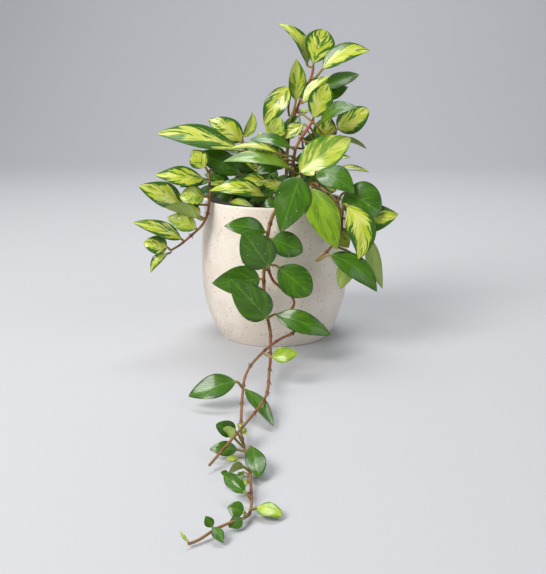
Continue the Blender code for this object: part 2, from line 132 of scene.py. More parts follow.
LEAVES = {
    "upright_stem": [
        Leaf((32, 6, 272), (3, 7, 310), 23, (6, -6, 5), 0.18, 0.30),
        Leaf((38, -6, 273), (48, 2, 305), 30, (0, -10, 2), -0.05, 0.12, widest=0.58, blunt=0.6),
        Leaf((47, -11, 268), (91, -17, 284), 22, (-2, -8, 5), 0.10, bend=-0.10,
             joint=(35, 0, 259)),
        Leaf((21, -2, 238), (21, -4, 277), 19, (3, -9, 0), 0.04, 0.35, joint=(17, 5, 215)),
        GreenLeaf((51, 12, 250), (85, 20, 262), 19, (-2, -7, 5), 0.08),
        Leaf((28, -9, 236), (53, -8, 261), 18, (-5, -8, 4), 0.05, 0.20),
        Leaf((15, 9, 250), (-10, 8, 212), 24, (-3, -9, 2), 0.12, 0.20, joint=(18, 5, 219)),
    ],
    "leaning_stem": [
        Leaf((38, -18, 222), (51, -23, 254), 24, (0, -10, 2), 0.03, 0.25, widest=0.5, blunt=0.7),
        GreenLeaf((44, -28, 217), (80, -37, 231), 24, (0, -5, 8), 0.20, 0.10),
        Leaf((63, -4, 210), (93, 0, 229), 26, (-1, -10, 2), -0.08, 0.10, blunt=0.55,
             joint=(24, -14, 200)),
        Leaf((48, 6, 196), (54, 4, 222), 24, (0, -10, 2), 0.03, blunt=0.65),
        PaleLeaf((25, -32, 170), (74, -22, 202), 34, (-3, -9, 3), 0.10, 0.20, blunt=0.7),
        GreenLeaf((15, -26, 194), (-24, -30, 201), 20, (0, -5, 8), 0.12, 0.10),
        Leaf((1, -43, 190), (-42, -49, 194), 16, (0, -4, 9), 0.12, 0.10),
        GreenLeaf((14, -46, 176), (-48, -70, 184), 22, (0, -5, 8), 0.12, 0.10),
    ],
    "crown_stem": [
        PaleLeaf((-3, -6, 200), (6, -6, 222), 20, (1, -10, 2), 0.05, 0.20),
        Leaf((-33, -18, 189), (-113, -34, 207), 27, (1, -7, 6), 0.11, widest=0.52),
        Leaf((-32, -1, 198), (-66, 3, 219), 25, (-2, -8, 5), 0.12, 0.12),
        PaleLeaf((-31, -13, 203), (-22, -13, 227), 11, (3, -9, 0), 0.04, 0.50, 0.12),
    ],
    "left_stem": [
        GreenLeaf((-35, -20, 168), (-78, -22, 188), 25, (3, -8, 4), 0.10),
        Leaf((-67, -38, 176), (-79, -36, 192), 20, (-2, -9, 2), 0.06, 0.20),
        Leaf((-69, -42, 165), (-114, -52, 170), 22, (0, -8, 6), 0.16, 0.12, -0.08),
        Leaf((-89, -50, 143), (-128, -64, 161), 24, (0, -9, 4), 0.10),
        PaleLeaf((-69, -48, 149), (-90, -58, 149), 19, (0, -9, 4), 0.20, blunt=0.6),
        PaleLeaf((-74, -62, 131), (-102, -74, 142), 17, (1, 8, 6), 0.12),
        Leaf((-90, -56, 109), (-134, -68, 127), 17, (0, -8, 6), 0.12),
        Leaf((-104, -57, 101), (-125, -62, 106), 18, (0, -9, 3), 0.15, 0.20, blunt=0.6),
        Leaf((-104, -55, 94), (-120, -58, 76), 13, (-5, -6, 4), 0.15, 0.30),
    ],
    "right_stem": [
        GreenLeaf((34, -70, 158), (57, -98, 107), 30, (1, -9, 2), 0.08, 0.10),
        GreenLeaf((41, -52, 173), (74, -74, 155), 30, (1, -7, 7), 0.12, 0.12),
        GreenLeaf((67, -56, 153), (99, -70, 136), 38, (2, -9, 4), 0.12, blunt=0.6),
        Leaf((74, -58, 127), (117, -64, 134), 27, (0, -10, 2), 0.08, 0.12),
        Leaf((67, -84, 145), (77, -94, 97), 28, (1, -9, 2), 0.08, 0.12, -0.15),
        GreenLeaf((52, -90, 100), (95, -94, 66), 22, (1, -9, 4), 0.10, 0.12, -0.08,
                  joint=(39, -82, 93)),
        PaleLeaf((90, -66, 111), (104, -66, 62), 15, (-3, 8, 4), 0.08, 0.20),
        PaleLeaf((73, -76, 94), (62, -80, 65), 18, (0, 9, 3), 0.08),
    ],
    "front_vine": [
        Leaf((-10, -50, 149), (-62, -56, 155), 19, (0, -8, 6), 0.25, 0.10, joint=(9, -41, 134)),
        GreenLeaf((23, -64, 169), (5, -98, 123), 33, (1, -9, 3), 0.08, 0.12),
        GreenLeaf((-9, -91, 122), (-46, -100, 129), 20, (-1, -8, 5), 0.15, 0.12),
        GreenLeaf((-6, -109, 94), (-28, -116, 127), 33, (0, -10, 2), 0.05, 0.08, widest=0.40,
                  blunt=0.65),
        GreenLeaf((-2, -89, 115), (26, -88, 103), 24, (0, -9, 3), 0.10, 0.10, blunt=0.6),
        GreenLeaf((-14, -93, 78), (-58, -97, 75), 28, (-1, -9, 2), 0.08, 0.10, widest=0.36),
        GreenLeaf((4, -102, 91), (33, -107, 67), 30, (1, -10, 2), 0.05, 0.06, widest=0.5,
                  blunt=0.6),
        GreenLeaf((-7, -112, 47), (-39, -119, 84), 31, (0, -10, 2), 0.05, 0.08, widest=0.36,
                  blunt=0.65),
        GreenLeaf((2, -104, 47), (52, -110, 29), 21, (-1, -8, 5), 0.12, 0.12),
    ],
    "trailing_vine": [
        PaleLeaf((-2, -166, 27), (20, -168, 31), 14, (0, -8, 4), 0.10),
        GreenLeaf((-32, -214, 22), (-70, -215, 10), 21, (0, -7, 7), 0.08, 0.10),
        GreenLeaf((-23, -214, 15), (-1, -262, 4), 14, (3, -6, 6), 0.03, 0.20),
        GreenLeaf((-27, -309, 7), (-46, -311, 8), 11, (0, -7, 6), 0.12, 0.10),
        GreenLeaf((-17, -313, 11), (-11, -347, 5), 14, (1, -6, 8), 0.08, widest=0.6, blunt=0.6),
        PaleLeaf((-11, -388, 5), (4, -394, 3), 12, (1, -3, 9), 0.10, 0.05, blunt=0.55),
    ],
}

# The smallest and the mostly hidden leaves, which have no solid of their own.
SMALL_LEAVES = {
    "upright_stem": [
        Leaf((30, 20, 172), (46, 48, 162), 24, (0, 5, 8), 0.12),
        Leaf((34, 18, 190), (54, 40, 186), 22, (0, 5, 8), 0.12, 0.15),
        GreenLeaf((30, 16, 204), (14, 38, 206), 20, (0, 5, 8), 0.10),
        Leaf((30, 18, 224), (34, 44, 226), 20, (0, 4, 9), 0.10),
        GreenLeaf((48, 16, 240), (74, 20, 250), 15, (0, -9, 3), 0.05),
    ],
    "leaning_stem": [
        GreenLeaf((30, 0, 200), (50, 6, 190), 20, (0, -9, 3), 0.10),
        GreenLeaf((22, 4, 180), (46, 12, 172), 20, (0, -8, 5), 0.10),
        GreenLeaf((14, 0, 170), (38, 4, 156), 22, (0, -9, 4), 0.10),
        Leaf((34, 4, 190), (64, 10, 184), 16, (0, -8, 5), 0.12),
        Leaf((28, -6, 214), (8, -4, 200), 15, (1, -8, 5), 0.06, 0.25),
        GreenLeaf((24, 2, 222), (9, 0, 196), 17, (-2, -9, 3), 0.05, 0.30),
        PaleLeaf((62, -4, 199), (92, -2, 190), 11, (0, 5, 8), 0.12, 0.20),
        Leaf((66, 8, 170), (96, 6, 166), 9, (0, -6, 8), 0.08, 0.20),
        Leaf((58, 14, 178), (78, 16, 180), 8, (0, -6, 8), 0.08, 0.20),
        GreenLeaf((8, -30, 182), (-18, -36, 168), 18, (1, -7, 6), 0.10, 0.15),
        Leaf((30, -6, 178), (58, 2, 186), 22, (-1, -9, 3), 0.08, 0.15),
        Leaf((8, -16, 178), (-8, -18, 194), 18, (1, -9, 3), 0.05, 0.15),
    ],
    "crown_stem": [
        GreenLeaf((-14, 0, 140), (-50, 6, 145), 22, (0, -8, 5), 0.10),
        GreenLeaf((-8, 6, 140), (-34, 20, 150), 20, (0, -8, 5), 0.10),
        Leaf((-6, 2, 176), (-34, 8, 190), 18, (0, -8, 5), 0.10, 0.10),
        GreenLeaf((-4, -4, 164), (-30, -16, 152), 18, (0, -8, 5), 0.12),
        GreenLeaf((0, -8, 160), (22, -20, 150), 18, (0, -8, 5), 0.12),
        GreenLeaf((-8, 4, 158), (-36, 2, 148), 20, (0, -8, 5), 0.10),
        Leaf((0, 0, 184), (-16, 4, 206), 18, (1, -9, 2), 0.08, 0.20),
        GreenLeaf((-2, 2, 172), (-10, -6, 150), 18, (0, -9, 3), 0.10),
        GreenLeaf((-20, 0, 170), (-50, 4, 176), 18, (0, -8, 5), 0.10),
        Leaf((-12, -6, 150), (-40, -20, 150), 16, (0, -7, 6), 0.14),
        Leaf((-10, 10, 165), (-30, 38, 158), 22, (0, 5, 8), 0.14),
        GreenLeaf((-4, 12, 175), (0, 46, 170), 24, (0, 4, 9), 0.12),
        GreenLeaf((-30, -14, 182), (-56, -12, 186), 14, (1, -5, 8), 0.08),
        Leaf((-10, -10, 168), (-28, -24, 178), 15, (0, -8, 4), 0.06, 0.40),
        Leaf((-8, -22, 158), (-34, -34, 160), 18, (1, -7, 6), 0.12, 0.15),
        GreenLeaf((-4, 4, 170), (12, 12, 186), 20, (0, -9, 3), 0.06),
        GreenLeaf((-16, 6, 160), (-44, 14, 166), 20, (0, -8, 5), 0.10),
        GreenLeaf((-2, -26, 150), (-24, -40, 142), 14, (2, -8, 5), 0.08),
    ],
    "left_stem": [
        GreenLeaf((-36, -12, 140), (-64, 4, 149), 18, (0, -8, 5), 0.10),
        GreenLeaf((-44, -20, 156), (-70, -14, 166), 16, (0, -7, 7), 0.10),
        GreenLeaf((-52, -28, 150), (-80, -26, 146), 16, (0, -7, 7), 0.12),
        Leaf((-44, -12, 150), (-60, 16, 150), 20, (0, 5, 8), 0.12),
        GreenLeaf((-64, -44, 162), (-92, -36, 156), 14, (0, -7, 7), 0.14),
        Leaf((-72, -50, 130), (-90, -46, 140), 15, (1, -8, 5), 0.10),
        PaleLeaf((-76, -50, 118), (-104, -44, 128), 19, (1, -8, 4), 0.12, 0.15),
        GreenLeaf((-46, -28, 158), (-66, -36, 166), 12, (0, -8, 5), 0.10),
        Leaf((-40, -22, 150), (-62, -46, 160), 14, (2, -7, 6), 0.12),
        PaleLeaf((-44, -26, 140), (-20, -46, 138), 9, (0, -7, 6), 0.10),
    ],
    "right_stem": [
        GreenLeaf((30, -14, 150), (54, -4, 160), 18, (0, -8, 5), 0.10),
        Leaf((34, -18, 146), (62, -14, 150), 16, (0, -7, 7), 0.10),
        GreenLeaf((40, -8, 150), (64, 18, 146), 22, (0, 5, 8), 0.12),
        PaleLeaf((58, -62, 118), (70, -74, 104), 18, (0, -9, 2), 0.08),
        Leaf((36, -26, 152), (56, -30, 146), 16, (0, -8, 5), 0.08),
        GreenLeaf((34, -22, 140), (52, -40, 142), 14, (0, -9, 4), 0.08),
    ],
    "front_vine": [
        Leaf((12, -46, 152), (-14, -46, 163), 16, (0, -8, 5), 0.15, 0.10),
        GreenLeaf((8, -48, 143), (-14, -50, 140), 12, (0, -8, 5), 0.15, 0.10),
    ],
    "trailing_vine": [
        PaleLeaf((-27, -281, 14), (-20, -299, 12), 5, (2, -5, 7), 0.05, 0.30),
        GreenLeaf((-29, -294, 14), (-42, -300, 22), 12, (0, -9, 4), 0.05, blunt=0.6),
        PaleLeaf((-29, -304, 14), (-37, -300, 19), 11, (0, 8, 4), 0.10, blunt=0.6),
        PaleLeaf((-26, -322, 7), (-34, -327, 8), 5, (0, -8, 5), 0.10),
        PaleLeaf((-22, -340, 9), (-31, -348, 7), 12, (1, 8, 4), 0.15, blunt=0.5),
        GreenLeaf((-31, -348, 8), (-36, -348, 9), 4, (0, -9, 4), 0.05),
        GreenLeaf((-22, -344, 7), (-24, -352, 5), 5, (0, -9, 4), 0.05),
        PaleLeaf((-19, -356, 7), (-24, -364, 5), 5, (0, -9, 4), 0.05),
        GreenLeaf((-19, -376, 9), (-33, -362, 15), 10, (0, -9, 5), 0.10, 0.35),
        GreenLeaf((-19, -400, 9), (-29, -398, 11), 10, (0, -8, 6), 0.08),
        GreenLeaf((-20, -403, 6), (-28, -408, 3.5), 8, (0, -9, 5), 0.08),
        GreenLeaf((-37, -414, 7), (-41, -412, 13), 6, (0, -9, 4), 0.05),
        GreenLeaf((-36, -415, 7), (-30, -424, 2.5), 7, (1, -7, 7), 0.06),
        PaleLeaf((-50, -425, 4), (-55, -422, 9), 2, (0, -9, 4), 0.15, 0.30),
    ],
}

# How far a leaf has turned yellow-green, where it differs from its finish.
YELLOWING = {
    "fine_right_leaf_1": 0.75,
    "fine_leaning_leaf_8": 0.45,
    "fine_trailing_leaf_1": 0.9,
    "fine_trailing_leaf_6": 0.55,
    "fine_upright_leaf_4": 0.35,
}


def count_setting(name, description, default):
    return bpy.props.IntProperty(name=name, description=description, default=default, min=0)


def size_setting(name, description, default, **kind):
    return bpy.props.FloatProperty(name=name, description=description, default=default, **kind)


def colour_setting(name, description, default):
    return bpy.props.FloatVectorProperty(name=name, description=description, default=default,
                                         subtype="COLOR", min=0.0, max=1.0)


class HoyaLeafSettings(bpy.types.PropertyGroup):
    """Sizes and colours of the leaves; lengths are in millimetres"""
    along_cells: count_setting("Along", "Rows of faces along a leaf's blade", 34)
    around_cells: count_setting("Around", "Points around a leaf's section", 24)
    thickness: size_setting("Thickness", "Middle thickness of a blade", 1.0)
    wave: size_setting("Wave", "Rise and fall of the margins, as a part of the width", 0.035)
    cup: size_setting("Cup", "How softly the fold at the midrib is rounded", 0.12)
    green: colour_setting("Green", "Plain leaves", (0.040, 0.125, 0.002))
    yellow: colour_setting("Yellow", "Middle of a variegated leaf", (0.43, 0.51, 0.022))
    cream: colour_setting("Cream", "Palest part of a variegated leaf", (0.62, 0.66, 0.15))
    margin: colour_setting("Margin", "Edge of a variegated leaf", (0.034, 0.115, 0.004))
    pale: colour_setting("Pale", "Middle of a pale leaf", (0.43, 0.53, 0.05))


class HoyaStemSettings(bpy.types.PropertyGroup):
    """Sizes and colours of the stems; lengths are in millimetres"""
    sides: count_setting("Sides", "Points around a stem", 14)
    spacing: size_setting("Spacing", "Distance between a stem's rings", 1.5)
    node_spacing: size_setting("Node spacing", "Distance between the nodes", 27.0)
    swelling: size_setting("Swelling", "Extra radius at a node, as a part of the radius", 0.35)
    seed: count_setting("Seed", "Seed of the root nubs", 7)
    bark: colour_setting("Bark", "Reddish lengths", (0.235, 0.068, 0.026))
    green_bark: colour_setting("Green bark", "Greenish lengths", (0.17, 0.14, 0.03))


class HoyaPotSettings(bpy.types.PropertyGroup):
    """Fineness and colours of the pot and its mix"""
    segments: count_setting("Segments", "Faces around the pot", 160)
    crumbs: count_setting("Crumbs", "Loose pieces of bark on the mix", 420)
    seed: count_setting("Seed", "Seed of the crumbs", 11)
    clay: colour_setting("Clay", "Darker mottling of the clay", (0.76, 0.675, 0.58))
    pale_clay: colour_setting("Pale clay", "Lighter mottling", (0.83, 0.755, 0.67))
    speck: colour_setting("Speck", "Iron specks in the clay", (0.17, 0.09, 0.045))


class HoyaStageSettings(bpy.types.PropertyGroup):
    """Camera, light and paper"""
    camera_distance: size_setting("Distance", "From the pot's middle to the camera", 0.860,
                                  unit="LENGTH")
    camera_height: size_setting("Height", "Camera's height", 0.263, unit="LENGTH")
    camera_pitch: size_setting("Pitch", "How far the camera looks down", math.radians(14.09),
                               subtype="ANGLE")
    lens: size_setting("Lens", "Focal length", 53.3, unit="CAMERA")
    light_power: size_setting("Light", "Power that each light takes its share of", 30.0,
                              unit="POWER")
    paper: colour_setting("Paper", "Floor and backdrop", (0.475, 0.48, 0.50))


def planted_route(stem):
    """A planted stem starts with a straight upright length inside its socket."""
    if stem.grows_from is not None:
        return stem.route
    x, y, _ = stem.route[0]
    return [(x, y, PLANTING_DEPTH), (x, y, PLANTING_TOP)] + stem.route


def smooth_route(points, spacing):
    """Catmull-Rom curve through the route's points, as an array of places."""
    points = np.array(points, float)
    padded = np.vstack([points[0] * 2 - points[1], points, points[-1] * 2 - points[-2]])
    runs = [points[:1]]
    for a, b, c, d in zip(padded, padded[1:], padded[2:], padded[3:]):
        pieces = max(2, round(float(np.linalg.norm(c - b)) / spacing))
        t = (np.arange(1, pieces + 1) / pieces)[:, None]
        runs.append(0.5 * (2 * b + (c - a) * t + (2 * a - 5 * b + 4 * c - d) * t ** 2
                           + (3 * b - a - 3 * c + d) * t ** 3))
    return np.vstack(runs)


def stem_line(name, spacing=1.5):
    """A stem's centre line and its tapered radius at each point."""
    stem = STEMS[name]
    route = smooth_route(planted_route(stem), spacing)
    if stem.grows_from is not None:
        root, outward = surface_root(stem.grows_from, route[0], route[4])
        start = np.vstack([root, root + outward * 1.6, root + outward * 3.2])
        route = np.vstack([start, route[3:]])
    radii = np.linspace(stem.start_radius, stem.end_radius, len(route))
    return route, radii


def surface_root(stem_name, place, target):
    """Where a petiole or side shoot leaves the stem, and its first direction."""
    route, radii = stem_line(stem_name)
    nearest = int(np.argmin(np.linalg.norm(route - np.array(place, float), axis=1)))
    point = route[nearest]
    along = route[min(nearest + 1, len(route) - 1)] - route[max(nearest - 1, 0)]
    along = along / np.linalg.norm(along)
    outward = np.array(target, float) - point
    outward = outward - along * outward.dot(along)
    outward = outward / np.linalg.norm(outward)
    return point + outward * (radii[nearest] * ROOT_DEPTH), outward


def unit(vectors):
    """Each vector divided by its own length."""
    return vectors / np.linalg.norm(vectors, axis=-1, keepdims=True)


def closed_tube(rings):
    """Faces of a closed tube from a (rings, sides, 3) array, with a fan's centre at each end."""
    count, sides, _ = rings.shape
    index = np.arange(count * sides).reshape(count, sides)
    ahead = np.roll(index, -1, axis=1)
    quads = np.stack([index[:-1], index[1:], ahead[1:], ahead[:-1]], axis=-1).reshape(-1, 4)
    first = count * sides
    last = first + 1
    start = np.stack([np.full(sides, first), index[0], ahead[0]], axis=-1)
    end = np.stack([np.full(sides, last), ahead[-1], index[-1]], axis=-1)
    places = np.vstack([rings.reshape(-1, 3), rings[0].mean(0), rings[-1].mean(0)])
    return places, quads.tolist() + start.tolist() + end.tolist()


def new_piece(name, places, faces, material):
    """A smooth mesh object from places in millimetres."""
    mesh = bpy.data.meshes.new(name)
    mesh.from_pydata((places * MM).tolist(), [], faces)
    mesh.validate()
    mesh.update()
    mesh.shade_smooth()
    piece = bpy.data.objects.new(name, mesh)
    bpy.context.scene.collection.objects.link(piece)
    mesh.materials.append(material)
    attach(piece, BODY)
    return piece


def add_values(mesh, **values):
    """Stores one number for each vertex under each name, for the materials to read."""
    for name, numbers in values.items():
        layer = mesh.attributes.new(name, "FLOAT", "POINT")
        layer.data.foreach_set("value", np.ascontiguousarray(numbers, dtype=np.float32))


def blade_half_width(leaf, t):
    """Half the width: a sine that peaks at the widest place, raised to the bluntness."""
    power = math.log(0.5) / math.log(leaf.widest)
    return leaf.width / 2 * np.clip(np.sin(np.pi * t ** power), 0, 1) ** leaf.blunt


def leaf_piece(name, leaf, stem_name, number, material):
    """A leaf as one closed surface, petiole and blade.

    The petiole is a cubic curve that leaves the stem outwards and meets the blade along its
    midrib. The midrib is the chord from base to tip bowed by 4t(1-t) towards the upper side
    and across. A section is a flat oval (cosine across, a power of the sine up), lifted by
    the fold times the distance from the midrib and by a sine wave that grows to the margins.
    """
    settings = bpy.context.scene.hoya_leaf
    base, tip = np.array(leaf.base, float), np.array(leaf.tip, float)
    chord = tip - base
    length = float(np.linalg.norm(chord))
    axis = chord / length
    up = np.array(leaf.face, float)
    up = unit(up - axis * up.dot(axis))
    bow = (up * leaf.arch + np.cross(axis, up) * leaf.bend) * length * 4
    root, outward = surface_root(stem_name, leaf.joint or leaf.base, base)
    reach = float(np.linalg.norm(base - root)) * 0.4
    handle_a = root + outward * reach
    handle_b = base - unit(chord + bow) * reach

    p = np.linspace(0, 1, PETIOLE_ROWS, endpoint=False)[:, None]
    q = 1 - p
    stalk = root * q ** 3 + handle_a * 3 * q * q * p + handle_b * 3 * q * p * p + base * p ** 3
    stalk_way = ((handle_a - root) * q * q + (handle_b - handle_a) * 2 * q * p
                 + (base - handle_b) * p * p)
    even = np.linspace(0, 1, settings.along_cells + 1)
    t = 0.35 * (0.5 - 0.5 * np.cos(np.pi * even)) + 0.65 * even
    way = t[:, None]
    blade = base + chord * way + bow * way * (1 - way)
    blade_way = chord + bow * (1 - 2 * way)

    centre = np.vstack([stalk, blade])
    direction = unit(np.vstack([stalk_way, blade_way]))
    ring_up = unit(up - direction * (direction @ up)[:, None])
    ring_across = np.cross(direction, ring_up)

    slim = np.clip(t / SHOULDER, 0, 1)
    tip_thin = np.sqrt(np.clip((1 - t) / TIP_TAPER, 0.02, 1))
    stalk_radius = min(PETIOLE_RADIUS, 0.35 + leaf.width * 0.05)
    thin = min(settings.thickness, leaf.width * 0.07) / 2
    half_width = np.maximum(blade_half_width(leaf, t), stalk_radius * (1 - slim) + 0.12)
    half_depth = (stalk_radius + (thin - stalk_radius) * slim) * tip_thin
    wide = np.concatenate([np.full(PETIOLE_ROWS, stalk_radius), half_width])
    deep = np.concatenate([np.full(PETIOLE_ROWS, stalk_radius), half_depth])
    fold = np.concatenate([np.zeros(PETIOLE_ROWS), leaf.fold * slim])
    along = np.concatenate([np.linspace(-1, 0, PETIOLE_ROWS, endpoint=False), t])

    angle = np.arange(settings.around_cells) / settings.around_cells * math.tau
    sine = np.sin(angle)
    across = np.cos(angle)
    flat = np.sign(sine) * np.abs(sine) ** 0.75
    phase = number * 2.399
    ripple = np.sin(math.tau * (1.6 * along[:, None] + 0.5 * (across > 0)) + phase)
    blade_part = np.clip(along, 0, 1)[:, None]
    rise = settings.wave * leaf.width * np.sqrt(blade_part * (1 - blade_part))
    wave = rise * ripple * across ** 2
    soft = np.sqrt(across ** 2 + settings.cup ** 2) - settings.cup
    lift = deep[:, None] * flat + wide[:, None] * fold[:, None] * soft + wave
    groove = 0.28 * thin * np.exp(-(across / 0.07) ** 2) * (sine > 0)
    lift = lift - groove * np.clip(along, 0, 1)[:, None] ** 0.2
    sideways = wide[:, None] * across
    rings = (centre[:, None] + ring_across[:, None] * sideways[..., None]
             + ring_up[:, None] * lift[..., None])
    places, faces = closed_tube(rings)
    piece = new_piece(name, places, faces, material)

    shape = rings.shape[:2]
    ends = [0.0, 0.0]
    values = {
        "across": np.broadcast_to(across, shape).ravel(),
        "along": np.broadcast_to(along[:, None], shape).ravel(),
        "upper": np.broadcast_to((sine > -0.05).astype(float), shape).ravel(),
    }
    add_values(piece.data, across=np.append(values["across"], ends),
               along=np.append(values["along"], [-1.0, 1.0]),
               upper=np.append(values["upper"], [1.0, 1.0]),
               seed=np.full(len(places), (number * 0.618) % 1.0),
               tint=np.full(len(places), YELLOWING.get(name, 0.0)))
    return piece


def stem_piece(name, material):
    """A stem as rings along its line, with small root nubs beside its nodes.

    The radius is the taper times one plus the swelling, which falls from each node as a bell
    curve of the distance, times a slight unevenness made of two sines.
    """
    settings = bpy.context.scene.hoya_stem
    route, radii = stem_line(name, settings.spacing)
    steps = np.linalg.norm(np.diff(route, axis=0), axis=1)
    run = np.concatenate([[0], np.cumsum(steps)])
    phase = np.abs((run / settings.node_spacing + 0.35) % 1.0 - 0.5) * settings.node_spacing
    swell = 1 + settings.swelling * np.exp(-(phase / NODE_REACH) ** 2)
    seed = sum(ord(letter) for letter in name)
    bumps = 1 + 0.05 * np.sin(run * 0.9 + seed) * np.sin(run * 0.37)
    if STEMS[name].grows_from is None:
        swell = np.where(run < PLANTING_TOP - PLANTING_DEPTH, 1.0, swell)
    radius = radii * STEM_SLIMNESS * swell * bumps
    direction = unit(np.gradient(route, axis=0))
    side = unit(np.cross(direction, np.array([0.31, 0.21, 0.93])))
    other = np.cross(direction, side)
    angle = np.arange(settings.sides) / settings.sides * math.tau
    circle = (side[:, None] * np.cos(angle)[:, None] + other[:, None] * np.sin(angle)[:, None])
    rings = route[:, None] + circle * radius[:, None, None]
    places, faces = closed_tube(rings[:, ::-1])
    tone = np.append(np.repeat(np.exp(-(phase / 2.0) ** 2), settings.sides), [0.0, 0.0])
    way = np.append(np.repeat(run, settings.sides), [run[0], run[-1]])

    rng = np.random.default_rng(settings.seed + seed)
    all_places, all_faces, all_tone, all_way = [places], list(faces), [tone], [way]
    count = len(places)
    nearest = (phase[1:-1] < phase[:-2]) & (phase[1:-1] <= phase[2:])
    for node in np.where(nearest & (run[1:-1] > 30))[0] + 1:
        for _ in range(NUBS_AT_NODE):
            turn = rng.uniform(0, math.tau)
            outward = side[node] * math.cos(turn) + other[node] * math.sin(turn)
            start = route[node] + outward * radius[node] * 0.7
            if start[2] < LOW_STEM:
                outward = unit(outward * np.array([1, 1, 0.0]) + np.array([0, 0, 0.6]))
            size = rng.uniform(1.2, 2.6)
            t = np.linspace(0, 1, 4)[:, None]
            line = start + outward * size * t + direction[node] * size * 0.4 * t * t
            b_side = unit(np.cross(outward, direction[node]))
            b_other = np.cross(outward, b_side)
            turnings = np.arange(6) / 6 * math.tau
            oval = b_side * np.cos(turnings)[:, None] + b_other * np.sin(turnings)[:, None]
            nub = line[:, None] + oval * (NUB_RADIUS * (1 - 0.75 * t))[:, :, None]
            nub_places, nub_faces = closed_tube(nub[:, ::-1])
            all_places.append(nub_places)
            all_faces.extend([[i + count for i in face] for face in nub_faces])
            all_tone.append(np.full(len(nub_places), 0.9))
            all_way.append(np.full(len(nub_places), run[node]))
            count += len(nub_places)
    piece = new_piece("fine_" + name, np.vstack(all_places), all_faces, material)
    add_values(piece.data, node=np.concatenate(all_tone), run=np.concatenate(all_way))
    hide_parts(name)
    return piece


def pot_radius(height):
    """Outer radius: the wall curves in below the belly and draws in gently above it."""
    height = np.asarray(height, float)
    below = np.clip((POT_BELLY_HEIGHT - height) / POT_BELLY_HEIGHT, 0, 1)
    above = np.clip((height - POT_BELLY_HEIGHT) / (POT_HEIGHT - POT_BELLY_HEIGHT), 0, 1)
    return (POT_BELLY_RADIUS - (POT_BELLY_RADIUS - POT_FOOT_RADIUS) * below ** 2.6
            - (POT_BELLY_RADIUS - POT_RIM_RADIUS) * above ** 2)


def arc(centre_r, centre_z, radius, start, end, count):
    """Points on a round corner of a profile, from one angle in degrees to another."""
    angle = np.radians(np.linspace(start, end, count))
    return np.stack([centre_r + radius * np.cos(angle), centre_z + radius * np.sin(angle)], axis=1)


def turned(profile, segments):
    """A surface of revolution: profile points are (radius, height), carried once around."""
    angle = np.arange(segments) / segments * math.tau
    ring = np.stack([np.cos(angle), np.sin(angle)], axis=1)
    flat = profile[:, None, 0:1] * ring
    height = np.broadcast_to(profile[:, None, 1:2], (len(profile), segments, 1))
    return np.concatenate([flat, height], axis=2)


def build_pot(material):
    """The pot: foot, outer wall, rounded lip and inner wall as one turned profile.

    Above the foot the radius varies a little with a sine of the height, as throwing leaves it.
    """
    settings = bpy.context.scene.hoya_pot
    lip = POT_WALL / 2
    lip_base = POT_HEIGHT - lip
    wall = np.linspace(POT_FOOT_ROUNDING + 1.5, lip_base, 60)[:-1]
    outer = np.stack([pot_radius(wall), wall], axis=1)
    foot = arc(POT_FOOT_RADIUS - 1.2, POT_FOOT_ROUNDING, POT_FOOT_ROUNDING, -90, -5, 6)
    rounding = arc(float(pot_radius(lip_base)) - lip, lip_base, lip, 0, 180, 13)
    inner_z = np.linspace(lip_base, 12, 30)[1:]
    inner = np.stack([pot_radius(inner_z) - POT_WALL, inner_z], axis=1)
    base = np.array([[1.0, 0.0], [POT_FOOT_RADIUS - 4, 0.0]])
    floor = np.array([[float(pot_radius(POT_FLOOR)) - POT_WALL - 5, POT_FLOOR], [1.0, POT_FLOOR]])
    profile = np.vstack([base, foot, outer, rounding, inner, floor])
    rings = turned(profile, settings.segments)
    angle = np.arctan2(rings[..., 1], rings[..., 0])
    wall_part = profile[:, None, 1] > 8
    throwing = 1 + 0.0012 * np.sin(rings[..., 2] * 0.16 + 0.5 * np.sin(angle)) * wall_part
    rings[..., :2] *= throwing[..., None]
    places, faces = closed_tube(rings[:, ::-1])
    piece = new_piece("fine_pot", places, faces, material)
    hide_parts("pot")
    return piece


